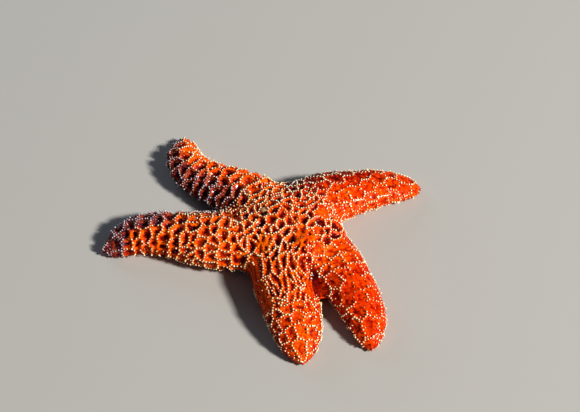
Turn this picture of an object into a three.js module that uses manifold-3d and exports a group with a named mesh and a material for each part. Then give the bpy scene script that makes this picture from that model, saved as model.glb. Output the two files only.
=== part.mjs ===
// Ochre sea star (Pisaster ochraceus), life size, lying on a flat floor with five bent rays.
// Millimetres, +Z up. The body is one smooth solid made from a distance field; it is then parted by
// thin cuts into the disk and two lengths of each ray. The origin is the middle of the footprint box.
import * as THREE from "three";
import { mergeVertices } from "three/addons/utils/BufferGeometryUtils.js";
import Module from "manifold-3d";

const wasm = await Module();
wasm.setup();

// ---------------------------------------------------------------- driving dimensions

// Each ray leaves the disk's middle at `heading`, turns by `bend` over its inner part and by `curl`
// towards its tip (degrees, anticlockwise). `length` runs from the disk's middle to the ray's end.
// `width` and `height` are the ray's girth where it leaves the disk, and `hold` is the share of them
// that it keeps up to its blunt tip.
const RAYS = [
  { name: "ray_left", heading: 195, bend: -28, curl: 42,
    length: 130, width: 48, height: 28, hold: 0.72 },
  { name: "ray_back_left", heading: 128, bend: 21, curl: -62,
    length: 127, width: 44, height: 26, hold: 0.7 },
  { name: "ray_back_right", heading: 60, bend: -42, curl: -16,
    length: 110, width: 46, height: 26, hold: 0.7 },
  { name: "ray_front_right", heading: -32, bend: -32, curl: -20,
    length: 110, width: 40, height: 24, hold: 0.8 },
  { name: "ray_front", heading: -102, bend: 26, curl: -6,
    length: 103, width: 44, height: 27, hold: 0.86 },
];
const BEND_SPAN = [0.1, 0.5]; // the shares of a ray's length over which it bends
const CURL_SPAN = [0.6, 0.95]; // over which its tip curls
const TAPER_SPAN = [0.25, 0.8]; // and over which it narrows to its hold
const TIP_LENGTH = 40; // the stretch over which a ray's sides close to its blunt end
const TIP_HEIGHT = 7; // the height of that end
const BELLY = 0.42; // the height of a ray's widest line, as a share of its height
const UNDERCUT = 1.28; // how far below its widest line a section would reach, before the floor cuts it

const DISK_RADIUS = 37;
const DISK_HEIGHT = 33;
const SWELLINGS = [
  // low hills on the disk, where the stomach and ray bases push it up
  { x: 19, y: 9, radius: 13, height: 32 },
  { x: 9, y: -22, radius: 15, height: 33 },
  { x: -6, y: 4, radius: 17, height: 35 },
];
const WEB = 9; // the radius of the fillets where rays, disk and swellings meet

const CELL = 5; // the mesh's cell
const GAP = 0.3; // between neighbouring pieces
const DISK_APOTHEM = 35; // from the disk's middle to each flat side where a ray is parted from it
const RAY_SPLIT = 0.62; // the share of a ray's length where its inner length meets its tip

const GROOVE_WIDTH = 9; // the ambulacral groove under a ray, at the mouth
const GROOVE_END_WIDTH = 3.6;
const GROOVE_DEPTH = 6;
const GROOVE_END_DEPTH = 2;
const GROOVE_SPAN = 0.95; // the share of a ray's length that the groove runs
const GROOVE_STEPS = 22;
const MOUTH_RADIUS = 7;
const MOUTH_DEPTH = 5;
const MADREPORITE = { angle: 166, distance: 17.6, radius: 2.6, proud: 0.9, sunk: 1.2 };
const EYESPOT_RADIUS = 0.9;
const EYESPOT_HEIGHT = 3.2; // of its middle, above the floor

// ---------------------------------------------------------------- small helpers

const rad = THREE.MathUtils.degToRad;
const ease = THREE.MathUtils.smoothstep;
const mix = THREE.MathUtils.lerp;

// A closed geometry as a manifold-3d solid.
function solid(geometry) {
  const bare = geometry.index ? geometry.toNonIndexed() : geometry.clone();
  bare.deleteAttribute("normal");
  bare.deleteAttribute("uv");
  const merged = mergeVertices(bare, 1e-4);
  return new wasm.Manifold(
    new wasm.Mesh({
      numProp: 3,
      vertProperties: merged.attributes.position.array,
      triVerts: new Uint32Array(merged.index.array),
    }),
  );
}

// A manifold-3d solid as a geometry.
function geometryOf(made) {
  const mesh = made.getMesh();
  const geometry = new THREE.BufferGeometry();
  geometry.setAttribute("position", new THREE.BufferAttribute(mesh.vertProperties.slice(), 3));
  geometry.setIndex(new THREE.BufferAttribute(mesh.triVerts.slice(), 1));
  geometry.computeVertexNormals();
  return geometry;
}

// ---------------------------------------------------------------- the body's distance field

// The centreline of a ray as evenly spaced stations, from the disk's middle to its end.
function centreline(ray, count = 44) {
  const step = ray.length / count;
  const stations = [{ x: 0, y: 0, s: 0, turn: rad(ray.heading) }];
  for (let i = 1; i <= count; i++) {
    const last = stations[i - 1];
    const share = (i * step) / ray.length;
    const bent = ray.bend * ease(share, ...BEND_SPAN);
    const curled = ray.curl * ease(share, ...CURL_SPAN);
    const turn = rad(ray.heading + bent + curled);
    const x = last.x + step * Math.cos(turn);
    const y = last.y + step * Math.sin(turn);
    stations.push({ x, y, s: i * step, turn });
  }
  return stations;
}
const LINES = new Map(RAYS.map((ray) => [ray, centreline(ray)]));

// Half the width, and the height, of a ray's section at a distance along it. The sides taper a
// little, then close along an ellipse.
function girth(ray, s) {
  const taper = mix(1, ray.hold, ease(s / ray.length, ...TAPER_SPAN));
  const towardsEnd = Math.max(1 - (ray.length - s) / TIP_LENGTH, 0);
  const closing = Math.sqrt(Math.max(1 - towardsEnd ** 2, 1e-6));
  return {
    half: (ray.width / 2) * taper * closing,
    height: mix(TIP_HEIGHT, ray.height * taper, closing ** 2),
  };
}

// About how far a point is outside a ray.
function rayField(ray, x, y, z) {
  const line = LINES.get(ray);
  let nearest = Infinity;
  let s = 0;
  for (let i = 1; i < line.length; i++) {
    const a = line[i - 1];
    const b = line[i];
    const along = ((x - a.x) * (b.x - a.x) + (y - a.y) * (b.y - a.y)) / (b.s - a.s) ** 2;
    const t = THREE.MathUtils.clamp(along, 0, 1);
    const off = Math.hypot(x - mix(a.x, b.x, t), y - mix(a.y, b.y, t));
    if (off < nearest) {
      nearest = off;
      s = mix(a.s, b.s, t);
    }
  }
  const { half, height } = girth(ray, s);
  const middle = height * BELLY;
  const reach = z > middle ? height - middle : middle * UNDERCUT;
  return Math.hypot(nearest, ((z - middle) / reach) * half) - half;
}

// About how far a point is outside a low round hill.
function moundField({ x, y, radius, height }, px, py, pz) {
  const middle = height * BELLY;
  const reach = pz > middle ? height - middle : middle * UNDERCUT;
  return Math.hypot(px - x, py - y, ((pz - middle) / reach) * radius) - radius;
}

// The lesser of two distances, with a fillet of about this radius where they are alike.
function blend(a, b, radius) {
  const share = THREE.MathUtils.clamp(0.5 + (b - a) / (2 * radius), 0, 1);
  return mix(b, a, share) - radius * share * (1 - share);
}

function bodyField(x, y, z) {
  let d = moundField({ x: 0, y: 0, radius: DISK_RADIUS, height: DISK_HEIGHT }, x, y, z);
  for (const swelling of SWELLINGS) d = blend(d, moundField(swelling, x, y, z), WEB / 2);
  for (const ray of RAYS) d = blend(d, rayField(ray, x, y, z), WEB);
  return d;
}

// The height of the body's upper surface at a place.
function topAt(x, y) {
  let low = 0;
  let high = DISK_HEIGHT * 2;
  while (high - low > 0.01) {
    const z = (low + high) / 2;
    if (bodyField(x, y, z) < 0) low = z;
    else high = z;
  }
  return low;
}

// ---------------------------------------------------------------- a mesh of the field

// The body's field, sampled at the points of a grid of cells.
function sampledBody() {
  const reach = Math.max(...RAYS.map((ray) => ray.length)) + 3 * CELL;
  const low = [-reach, -reach, -4.3 * CELL];
  const side = Math.ceil((2 * reach) / CELL);
  const tall = Math.ceil((DISK_HEIGHT - low[2]) / CELL) + 4;
  const counts = [side, side, tall];
  const at = (i, j, k) => i + side * (j + side * k);
  const place = (cells) => cells.map((c, n) => low[n] + c * CELL);
  const value = new Float64Array(side * side * tall);
  for (let k = 0; k < tall; k++)
    for (let j = 0; j < side; j++)
      for (let i = 0; i < side; i++) value[at(i, j, k)] = bodyField(...place([i, j, k]));
  return { counts, at, place, value };
}

// The ends of a cell's 12 edges, as pairs of its corners.
const CELL_EDGES = [];
for (let c = 0; c < 8; c++)
  for (let axis = 0; axis < 3; axis++) {
    const other = c | (1 << axis);
    if (other !== c) CELL_EDGES.push([c, other].map((n) => [n & 1, (n >> 1) & 1, n >> 2]));
  }

// The middle of the places where the surface crosses a cell's edges, or null where it crosses none.
function crossingIn({ at, place, value }, i, j, k) {
  const sum = [0, 0, 0];
  let crossings = 0;
  for (const [a, b] of CELL_EDGES) {
    const va = value[at(i + a[0], j + a[1], k + a[2])];
    const vb = value[at(i + b[0], j + b[1], k + b[2])];
    if (va < 0 === vb < 0) continue;
    const t = va / (va - vb);
    for (let n = 0; n < 3; n++) sum[n] += mix(a[n], b[n], t);
    crossings++;
  }
  if (!crossings) return null;
  return place([i, j, k].map((c, n) => c + sum[n] / crossings));
}

// Moves a point on to the body's surface, along the field's slope.
function settled([x, y, z], probe = 0.2) {
  const d = bodyField(x, y, z);
  const slope = [
    (bodyField(x + probe, y, z) - bodyField(x - probe, y, z)) / (2 * probe),
    (bodyField(x, y + probe, z) - bodyField(x, y - probe, z)) / (2 * probe),
    (bodyField(x, y, z + probe) - bodyField(x, y, z - probe)) / (2 * probe),
  ];
  const steep = Math.max(slope[0] ** 2 + slope[1] ** 2 + slope[2] ** 2, 0.1);
  return [x, y, z].map((c, n) => c - (d * slope[n]) / steep);
}

// The whole body as a closed solid: one vertex in each cell that the surface crosses, and one quad
// round each grid edge that it crosses, halved along its shorter diagonal.
function wholeBody() {
  const grid = sampledBody();
  const { counts, at, value } = grid;
  const points = [];
  const pointOf = new Map();
  for (let k = 0; k < counts[2] - 1; k++)
    for (let j = 0; j < counts[1] - 1; j++)
      for (let i = 0; i < counts[0] - 1; i++) {
        const crossing = crossingIn(grid, i, j, k);
        if (!crossing) continue;
        pointOf.set(at(i, j, k), points.length);
        points.push(new THREE.Vector3(...settled(crossing)));
      }

  const faces = [];
  const addQuad = (cells, flip) => {
    let ring = cells.map((cell) => pointOf.get(at(...cell)));
    if (flip) ring.reverse();
    const [p, q, r, s] = ring.map((n) => points[n]);
    if (q.distanceTo(s) < p.distanceTo(r)) ring = [...ring.slice(1), ring[0]];
    faces.push(ring[0], ring[1], ring[2], ring[0], ring[2], ring[3]);
  };
  for (let k = 1; k < counts[2] - 1; k++)
    for (let j = 1; j < counts[1] - 1; j++)
      for (let i = 1; i < counts[0] - 1; i++) {
        const inside = value[at(i, j, k)] < 0;
        if (inside !== value[at(i + 1, j, k)] < 0)
          addQuad([[i, j - 1, k - 1], [i, j, k - 1], [i, j, k], [i, j - 1, k]], !inside);
        if (inside !== value[at(i, j + 1, k)] < 0)
          addQuad([[i - 1, j, k - 1], [i - 1, j, k], [i, j, k], [i, j, k - 1]], !inside);
        if (inside !== value[at(i, j, k + 1)] < 0)
          addQuad([[i - 1, j - 1, k], [i, j - 1, k], [i, j, k], [i - 1, j, k]], !inside);
      }
  return solid(new THREE.BufferGeometry().setFromPoints(points).setIndex(faces));
}

// ---------------------------------------------------------------- cutting tools

// A closed solid through rings of points, each ring with as many points as the next.
function loft(rings) {
  const sides = rings[0].length;
  const positions = rings.flat().flatMap((p) => [p.x, p.y, p.z]);
  const faces = [];
  for (let i = 0; i < rings.length - 1; i++)
    for (let j = 0; j < sides; j++) {
      const a = i * sides + j;
      const b = i * sides + ((j + 1) % sides);
      faces.push(a, b, b + sides, a, b + sides, a + sides);
    }
  const last = (rings.length - 1) * sides;
  for (let j = 1; j < sides - 1; j++) {
    faces.push(0, j + 1, j);
    faces.push(last, last + j, last + j + 1);
  }
  const geometry = new THREE.BufferGeometry();
  geometry.setAttribute("position", new THREE.Float32BufferAttribute(positions, 3));
  geometry.setIndex(faces);
  return geometry;
}

// The groove under a ray: an arch that narrows from the mouth towards the tip.
function groove(ray) {
  const line = LINES.get(ray);
  const rings = [];
  for (let i = 0; i <= GROOVE_STEPS; i++) {
    const share = i / GROOVE_STEPS;
    const { x, y, turn } = line[Math.round(share * GROOVE_SPAN * (line.length - 1))];
    const half = mix(GROOVE_WIDTH, GROOVE_END_WIDTH, share) / 2;
    const depth = mix(GROOVE_DEPTH, GROOVE_END_DEPTH, share ** 2);
    const arch = [
      [half * 1.1, -1],
      [half, depth * 0.5],
      [half * 0.45, depth],
      [-half * 0.45, depth],
      [-half, depth * 0.5],
      [-half * 1.1, -1],
    ];
    rings.push(
      arch.map(([across, up]) => ({
        x: x - across * Math.sin(turn),
        y: y + across * Math.cos(turn),
        z: up,
      })),
    );
  }
  return solid(loft(rings));
}

// A disc-shaped tool about +Z.
function roundTool(radius, bottom, top, sides = 28) {
  const geometry = new THREE.CylinderGeometry(radius, radius, top - bottom, sides);
  geometry.rotateX(Math.PI / 2);
  geometry.translate(0, 0, (top + bottom) / 2);
  return solid(geometry);
}

// All that is under the floor.
function floorBlock() {
  const size = 400;
  return solid(new THREE.BoxGeometry(size, size, size).translate(0, 0, -size / 2));
}

// The part of a solid past an upright plane, less half a gap. The plane faces along an angle, and is
// this far along it from the disk's middle.
function past(made, angle, offset) {
  return made.trimByPlane([Math.cos(angle), Math.sin(angle), 0], offset + GAP / 2);
}

// ---------------------------------------------------------------- the pieces

const FLESH = new THREE.MeshStandardMaterial({ color: 0xe4481a, roughness: 0.45 });
const PALE = new THREE.MeshStandardMaterial({ color: 0xd9b48a, roughness: 0.6 });
const MOUTH = new THREE.MeshStandardMaterial({ color: 0xd98a50, roughness: 0.5 });
const EYE = new THREE.MeshStandardMaterial({ color: 0xb01010, roughness: 0.3 });

const star = new THREE.Group();

function addPiece(name, made, material) {
  const mesh = new THREE.Mesh(made.isBufferGeometry ? made : geometryOf(made), material);
  mesh.name = name;
  star.add(mesh);
}

// The angle from the disk's middle to where a ray leaves the disk.
function exitAngle(ray) {
  const line = LINES.get(ray);
  const { x, y } = line.find((station) => station.s > DISK_APOTHEM);
  return Math.atan2(y, x);
}

// One ray of the body: what lies past the disk's flat side, and on its own side of the lines halfway
// to its two neighbours.
function partedRay(body, index) {
  const exits = RAYS.map(exitAngle);
  let made = past(body, exits[index], DISK_APOTHEM);
  for (const step of [1, RAYS.length - 1]) {
    const neighbour = exits[(index + step) % RAYS.length];
    const across = Math.sin(exits[index]) - Math.sin(neighbour);
    const along = Math.cos(exits[index]) - Math.cos(neighbour);
    made = past(made, Math.atan2(across, along), 0);
  }
  return made;
}

// Parts a ray into its inner length and its tip, and sets the eyespot in the tip's end.
function addRay(ray, whole) {
  const line = LINES.get(ray);
  const split = line[Math.round(RAY_SPLIT * (line.length - 1))];
  const along = split.x * Math.cos(split.turn) + split.y * Math.sin(split.turn);
  addPiece(ray.name + "_inner", past(whole, split.turn + Math.PI, -along), FLESH);

  const end = line[line.length - 1];
  let out = TIP_HEIGHT;
  const beyond = () => [end.x + out * Math.cos(end.turn), end.y + out * Math.sin(end.turn)];
  while (bodyField(...beyond(), EYESPOT_HEIGHT) > -EYESPOT_RADIUS / 2) out -= 0.05;
  const eyeball = (radius) =>
    new THREE.SphereGeometry(radius, 8, 5).translate(...beyond(), EYESPOT_HEIGHT);
  const tip = past(whole, split.turn, along).subtract(solid(eyeball(EYESPOT_RADIUS + GAP)));
  addPiece(ray.name + "_tip", tip, FLESH);
  addPiece(ray.name.replace("ray", "eyespot"), eyeball(EYESPOT_RADIUS), EYE);
}

// The whole body with its grooves and mouth pit, parted into the rays, which are added, and the disk.
function buildBody() {
  let body = wholeBody().subtract(floorBlock());
  for (const ray of RAYS) body = body.subtract(groove(ray));
  body = body.subtract(roundTool(MOUTH_RADIUS, -1, MOUTH_DEPTH));
  RAYS.forEach((ray, index) => addRay(ray, partedRay(body, index)));
  return RAYS.reduce((disk, ray) => past(disk, exitAngle(ray) + Math.PI, -DISK_APOTHEM), body);
}

// The madreporite: a low button let into the disk's upper side.
function buildMadreporite(disk) {
  const { angle, distance, radius, proud, sunk } = MADREPORITE;
  const x = distance * Math.cos(rad(angle));
  const y = distance * Math.sin(rad(angle));
  const z = topAt(x, y);
  const slope = new THREE.Vector3(
    topAt(x - 1, y) - topAt(x + 1, y),
    topAt(x, y - 1) - topAt(x, y + 1),
    2,
  ).normalize();
  const turn = new THREE.Quaternion().setFromUnitVectors(new THREE.Vector3(0, 1, 0), slope);
  const button = [
    [0, -sunk],
    [radius, -sunk],
    [radius, proud * 0.3],
    [radius * 0.8, proud * 0.8],
    [radius * 0.4, proud],
    [0, proud],
  ];
  const profile = button.map(([r, h]) => new THREE.Vector2(r, h));
  const made = new THREE.LatheGeometry(profile, 16).applyQuaternion(turn).translate(x, y, z);
  const seat = new THREE.CylinderGeometry(radius + GAP, radius + GAP, 8, 16)
    .translate(0, 4 - sunk - GAP, 0)
    .applyQuaternion(turn)
    .translate(x, y, z);
  addPiece("madreporite", made, PALE);
  return disk.subtract(solid(seat));
}

// The mouth: a low ring of membrane in the pit where the grooves meet.
function buildMouth() {
  const r = MOUTH_RADIUS - GAP;
  const ring = [
    [1.6, MOUTH_DEPTH - GAP],
    [1.6, 2.4],
    [2.6, 1.6],
    [r - 1, 2.2],
    [r, 3],
    [r, MOUTH_DEPTH - GAP],
    [1.6, MOUTH_DEPTH - GAP],
  ];
  const profile = ring.map(([across, up]) => new THREE.Vector2(across, up));
  addPiece("mouth", new THREE.LatheGeometry(profile, 20).rotateX(Math.PI / 2), MOUTH);
}

addPiece("disk", buildMadreporite(buildBody()), FLESH);
buildMouth();

// The origin goes to the middle of the footprint box, on the floor.
const box = new THREE.Box3().setFromObject(star, true);
const middle = box.getCenter(new THREE.Vector3());
for (const mesh of star.children) mesh.geometry.translate(-middle.x, -middle.y, 0);

export default star;
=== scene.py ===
import math
from collections import namedtuple

import bpy
import numpy as np
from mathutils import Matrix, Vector, noise


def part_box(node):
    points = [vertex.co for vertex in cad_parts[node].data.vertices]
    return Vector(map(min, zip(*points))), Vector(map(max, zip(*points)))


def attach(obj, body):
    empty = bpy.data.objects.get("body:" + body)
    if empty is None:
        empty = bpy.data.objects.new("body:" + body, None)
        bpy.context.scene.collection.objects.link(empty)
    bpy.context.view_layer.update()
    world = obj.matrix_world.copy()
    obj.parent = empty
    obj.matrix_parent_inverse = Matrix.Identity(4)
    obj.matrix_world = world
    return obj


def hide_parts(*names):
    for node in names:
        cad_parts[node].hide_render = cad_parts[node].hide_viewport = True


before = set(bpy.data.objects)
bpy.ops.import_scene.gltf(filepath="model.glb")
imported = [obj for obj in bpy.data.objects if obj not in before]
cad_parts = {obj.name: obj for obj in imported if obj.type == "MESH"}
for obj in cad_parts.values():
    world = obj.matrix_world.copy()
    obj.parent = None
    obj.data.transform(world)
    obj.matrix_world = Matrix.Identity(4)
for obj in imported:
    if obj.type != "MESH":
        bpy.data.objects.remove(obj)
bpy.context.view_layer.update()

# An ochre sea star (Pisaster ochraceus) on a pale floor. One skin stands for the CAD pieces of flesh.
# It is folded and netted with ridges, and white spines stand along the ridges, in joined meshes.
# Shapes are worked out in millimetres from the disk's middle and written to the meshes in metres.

MM = 0.001
RNG = np.random.default_rng(7)
noise.seed_set(7)

# ---------------- the body's form, as the CAD source has it

# Heading, bend and curl are in degrees. Hold is the share of its width that a ray keeps towards its end.
Ray = namedtuple("Ray", "name heading bend curl length width height hold")
RAYS = [
    Ray("left", 195, -28, 42, 130, 48, 28, 0.72),
    Ray("back_left", 128, 21, -62, 127, 44, 26, 0.7),
    Ray("back_right", 60, -42, -16, 110, 46, 26, 0.7),
    Ray("front_right", -32, -32, -20, 110, 40, 24, 0.8),
    Ray("front", -102, 26, -6, 103, 44, 27, 0.86),
]
LEFT, BACK_LEFT, BACK_RIGHT, FRONT_RIGHT, FRONT = range(len(RAYS))
STATIONS = 44
BEND_SPAN = (0.1, 0.5)
CURL_SPAN = (0.6, 0.95)
TAPER_SPAN = (0.25, 0.8)
TIP_LENGTH = 40
TIP_HEIGHT = 7
BELLY = 0.42
UNDERCUT = 1.28
DISK = (0, 0, 37, 33)  # x, y, radius and height
SWELLINGS = [(19, 9, 13, 32), (9, -22, 15, 33), (-6, 4, 17, 35)]
WEB = 9
PROBE = 0.2  # how far apart the form is felt for its slope


def middle_of(node):
    """The middle of a CAD piece's box, in millimetres."""
    low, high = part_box(node)
    return np.array((low + high) / 2) / MM


MIDDLE = middle_of("mouth") * [1, 1, 0]  # the disk's middle, on the floor


def ease(x, low, high):
    t = np.clip((x - low) / (high - low), 0, 1)
    return t * t * (3 - 2 * t)


def mix(a, b, t):
    return a + (b - a) * t


def unit(v):
    return v / np.maximum(np.linalg.norm(v, axis=-1, keepdims=True), 1e-9)


def wobble(points, size):
    """Smooth noise with features of this size, as three numbers from about -1 to 1 for each point."""
    return np.array([noise.noise_vector(place) for place in (points / size).tolist()])


def centreline(ray):
    """A ray's stations: their places, and which way the ray heads at each."""
    share = np.arange(1, STATIONS + 1) / STATIONS
    bent = ray.bend * ease(share, *BEND_SPAN)
    curled = ray.curl * ease(share, *CURL_SPAN)
    turn = np.radians(ray.heading + bent + curled)
    steps = np.stack([np.cos(turn), np.sin(turn)], 1) * ray.length / STATIONS
    places = np.vstack([[0, 0], np.cumsum(steps, 0)])
    return places, np.concatenate([[math.radians(ray.heading)], turn])


LINES = [centreline(ray) for ray in RAYS]


def along(index, points):
    """How far along a ray's centreline each point lies, and how far to the left of it."""
    places, _ = LINES[index]
    step = RAYS[index].length / STATIONS
    nearest = ((places**2).sum(1) - 2 * points[:, :2] @ places.T).argmin(1)
    best = np.full(len(points), np.inf)
    s = np.zeros(len(points))
    side = np.zeros(len(points))
    for first in (np.maximum(nearest - 1, 0), np.minimum(nearest, STATIONS - 1)):
        a = places[first]
        edge = places[first + 1] - a
        offset = points[:, :2] - a
        t = np.clip((offset * edge).sum(1) / step**2, 0, 1)
        off = offset - edge * t[:, None]
        far = np.hypot(off[:, 0], off[:, 1])
        left = edge[:, 0] * offset[:, 1] - edge[:, 1] * offset[:, 0]
        closer = far < best
        best = np.where(closer, far, best)
        s = np.where(closer, (first + t) * step, s)
        side = np.where(closer, np.where(left < 0, -far, far), side)
    return s, side


def girth(ray, s):
    """Half the width, and the height, of a ray's section."""
    taper = mix(1, ray.hold, ease(s / ray.length, *TAPER_SPAN))
    towards_end = np.maximum(1 - (ray.length - s) / TIP_LENGTH, 0)
    closing = np.sqrt(np.maximum(1 - towards_end**2, 1e-6))
    return ray.width / 2 * taper * closing, mix(TIP_HEIGHT, ray.height * taper, closing**2)


def domed(off, z, half, height):
    """About how far a point is outside a form with this half width and height."""
    middle = height * BELLY
    reach = np.where(z > middle, height - middle, middle * UNDERCUT)
    return np.sqrt(off**2 + ((z - middle) / reach * half) ** 2) - half


def filleted(a, b, radius):
    share = np.clip(0.5 + (b - a) / (2 * radius), 0, 1)
    return mix(b, a, share) - radius * share * (1 - share)


def body_field(points):
    """About how far each point is outside the body."""
    x, y, z = points.T
    d = domed(np.hypot(x - DISK[0], y - DISK[1]), z, *DISK[2:])
    for sx, sy, radius, height in SWELLINGS:
        d = filleted(d, domed(np.hypot(x - sx, y - sy), z, radius, height), WEB / 2)
    for index, ray in enumerate(RAYS):
        s, side = along(index, points)
        d = filleted(d, domed(side, z, *girth(ray, s)), WEB)
    return d


def settled(points, rounds=4):
    """The points moved on to the body's surface, and the way out there."""
    points = points.copy()
    for _ in range(rounds):
        d = body_field(points)
        slope = np.stack([(body_field(points + PROBE * axis) - d) / PROBE for axis in np.eye(3)], 1)
        steep = np.maximum((slope**2).sum(1), 0.1)
        points -= slope * (d / steep)[:, None]
    return points, unit(slope)


# ---------------- small helpers for meshes


def read(items, name, width=3):
    """What a mesh's vertices, faces or corners keep under this name, as one row for each."""
    flat = np.empty(len(items) * width)
    items.foreach_get(name, flat)
    return flat.reshape(-1, width)


def coords(mesh):
    """A mesh's vertices in millimetres from the disk's middle."""
    return read(mesh.vertices, "co") / MM - MIDDLE


def set_coords(mesh, points):
    mesh.vertices.foreach_set("co", ((points + MIDDLE) * MM).ravel())
    mesh.update()


def store(mesh, name, values):
    """Keeps one number for each vertex, for the materials to read."""
    layer = mesh.attributes.new(name, "FLOAT", "POINT")
    layer.data.foreach_set("value", np.asarray(values, np.float32))


def add(name, data):
    """An object in the scene with this mesh, lamp or camera."""
    made = bpy.data.objects.new(name, data)
    bpy.context.scene.collection.objects.link(made)
    return made


def select_only(*objects):
    bpy.ops.object.select_all(action="DESELECT")
    for piece in objects:
        piece.select_set(True)
    bpy.context.view_layer.objects.active = objects[-1]


def apply_modifier(piece, kind, **settings):
    select_only(piece)
    modifier = piece.modifiers.new(kind.title(), kind)
    for key, value in settings.items():
        setattr(modifier, key, value)
    bpy.ops.object.modifier_apply(modifier=modifier.name)


def select_faces(mesh, chosen):
    """Selects these faces alone, for the next operator in edit mode."""
    mesh.polygons.foreach_set("select", np.asarray(chosen, bool))
    mesh.edges.foreach_set("select", np.zeros(len(mesh.edges), bool))
    mesh.vertices.foreach_set("select", np.zeros(len(mesh.vertices), bool))
    mesh.update()


def edit(piece, *steps, whole=True):
    """Runs operators on a piece in edit mode, on the whole of it or on the faces that are selected."""
    select_only(piece)
    bpy.ops.object.mode_set(mode="EDIT")
    bpy.ops.mesh.select_mode(type="FACE")
    if whole:
        bpy.ops.mesh.select_all(action="SELECT")
    for step in steps:
        step()
    bpy.ops.object.mode_set(mode="OBJECT")


def merge_doubles():
    bpy.ops.mesh.remove_doubles(threshold=0.01 * MM)


def smooth_shaded(piece):
    select_only(piece)
    bpy.ops.object.shade_smooth()


# ---------------- the skin's mesh

FLESH = [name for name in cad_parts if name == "disk" or name.startswith("ray_")]
SWELL = 0.3  # how far the pieces' copies swell, to close the parting cuts
REMESH = 3.05  # the first mesh's cell
FINE_ABOVE = 1.5  # the height from which the mesh is cut finely
UNDERSIDE = 1.2  # how high the skin's flat underside lies: spines and feet reach the floor from it
COAT = 1.0  # how far the skin lies inside the solids: the height of the spines on it


def fused_body():
    """One coarse closed mesh round all the flesh, from copies of the CAD pieces."""
    copies = []
    for name in FLESH:
        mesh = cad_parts[name].data.copy()
        mesh.materials.clear()
        copies.append(add("skin", mesh))
        edit(copies[-1], merge_doubles, lambda: bpy.ops.transform.shrink_fatten(value=SWELL * MM))
    select_only(*copies)
    bpy.ops.object.join()
    body = bpy.context.object
    body.name = "skin"
    apply_modifier(body, "REMESH", mode="VOXEL", voxel_size=REMESH * MM)
    apply_modifier(body, "SMOOTH", factor=0.5, iterations=3)
    return body


def face_values(mesh):
    """Each face's middle, in millimetres from the disk's middle, and the way it faces."""
    return read(mesh.polygons, "center") / MM - MIDDLE, read(mesh.polygons, "normal")


def unwrap(body):
    """Lays the skin out flat in two islands, its upper and its under side, for the baked textures."""
    mesh = body.data
    _, facing = face_values(mesh)
    upper = facing[:, 2] > 0
    sides = {}
    for face in mesh.polygons:
        for key in face.edge_keys:
            sides.setdefault(key, set()).add(bool(upper[face.index]))
    for edge in mesh.edges:
        edge.use_seam = len(sides[edge.key]) == 2
    mesh.uv_layers.new(name="OFBake")
    edit(
        body,
        lambda: bpy.ops.uv.unwrap(method="ANGLE_BASED", margin=0.01),
        lambda: bpy.ops.uv.average_islands_scale(),
        lambda: bpy.ops.uv.pack_islands(margin=0.01),
    )


def refined(body):
    """Cuts the mesh finely, and less so underneath."""
    middles, _ = face_values(body.data)
    select_faces(body.data, middles[:, 2] > FINE_ABOVE)
    edit(body, lambda: bpy.ops.mesh.subdivide(number_cuts=3), whole=False)
    middles, _ = face_values(body.data)
    select_faces(body.data, middles[:, 2] <= FINE_ABOVE)
    edit(body, lambda: bpy.ops.mesh.subdivide(number_cuts=1), whole=False)


# ---------------- the net of ridges

# The skin is parted into cells, as the plates under it are. A cell's reach is half its size along and
# across, its dip is how deep the flesh sinks inside the ridges round it, and its tone is how dark it is
# there: 0 is the orange of the ridges, and 1 the maroon of the deepest folds. That darkness is partly the
# flesh's own darker colour and partly painted shade in the pits and folds. Its rim is how far the
# ridge's own colour comes in from the edge, and its fold is how far its middle sinks along with its
# neighbours beside it, so that the ridges across the ray stand up as folds.
Row = namedtuple("Row", "along across dip tone rim fold")
NET = Row(6.6, 7.6, 2.2, 0.85, 0.7, 0.3)
FOLDS = Row(7.8, 9.0, 1.7, 0.95, 0.9, 1.5)
CLOSE_FOLDS = Row(7.6, 9.5, 1.7, 0.95, 0.9, 1.6)
LONG_FOLDS = Row(16, 5.0, 1.8, 0.8, 0.5, 0)
SOFT_FOLDS = Row(13, 5.6, 1.1, 0.5, 0.6, 0)
SMOOTH = Row(8.6, 7.2, 0.7, 0.34, 0.6, 0)
COBBLED = Row(9.5, 8.6, 0.6, 0.2, 0.6, 0)
ZONES = {  # the spans along each ray, with the kind of cell in the rows that fill them
    LEFT: [(33, 62, NET), (62, 130, FOLDS)],
    BACK_LEFT: [(33, 127, CLOSE_FOLDS)],
    BACK_RIGHT: [(34, 110, COBBLED)],
    FRONT_RIGHT: [(34, 110, COBBLED)],
    FRONT: [(30, 47, LONG_FOLDS), (47, 60, SOFT_FOLDS), (60, 103, SMOOTH)],
}
JITTER = 0.22  # of a cell's size
GIRDLE = 2.4  # how far round a ray a row's cells are shared out, in quarters of the section
LOWEST_ARC = 1.35  # how far from the top the lowest of them may lie, in the same quarters
RAY_ROOM = 0.62  # how far off the disk's cells keep from a ray's, as a share of its smaller half size
LOBE_ROOM = 0.8  # and from a lobe, in the same way
PLAIN_STRETCH = 1.15  # how much longer than wide a cell is in the disk's middle
DISK_HEIGHT = 32.0  # from where the disk's cells settle on to the body
DISK_REACH = 3.1  # half the size of the disk's cells
DISK_DIP = 2.3
DISK_TONE = 1.08
DISK_RIM = 0.5
DISK_FOLD = 0.2
DISK_EDGE = 38
PACKING = 1.75  # how near the disk's cells may come, as a share of their half sizes
THROWS = 5000  # how many times a cell is thrown on to the disk
# How the disk's cells lie where a ray leaves it: whether their long way runs across the ray, and how
# much longer than wide they are.
LIE = {
    LEFT: (True, 1.35), BACK_LEFT: (True, 1.4), BACK_RIGHT: (False, 1.3),
    FRONT_RIGHT: (False, 1.1), FRONT: (False, 1.75),
}
# Big smooth cells on the disk: x, y, half sizes, dip, tone, rim and fold.
LOBES = [(24, 3, 8, 6, 0.3, 0.05, 0.6, 0), (24, -27, 6, 8, 0.5, 0.2, 0.6, 0)]
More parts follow.
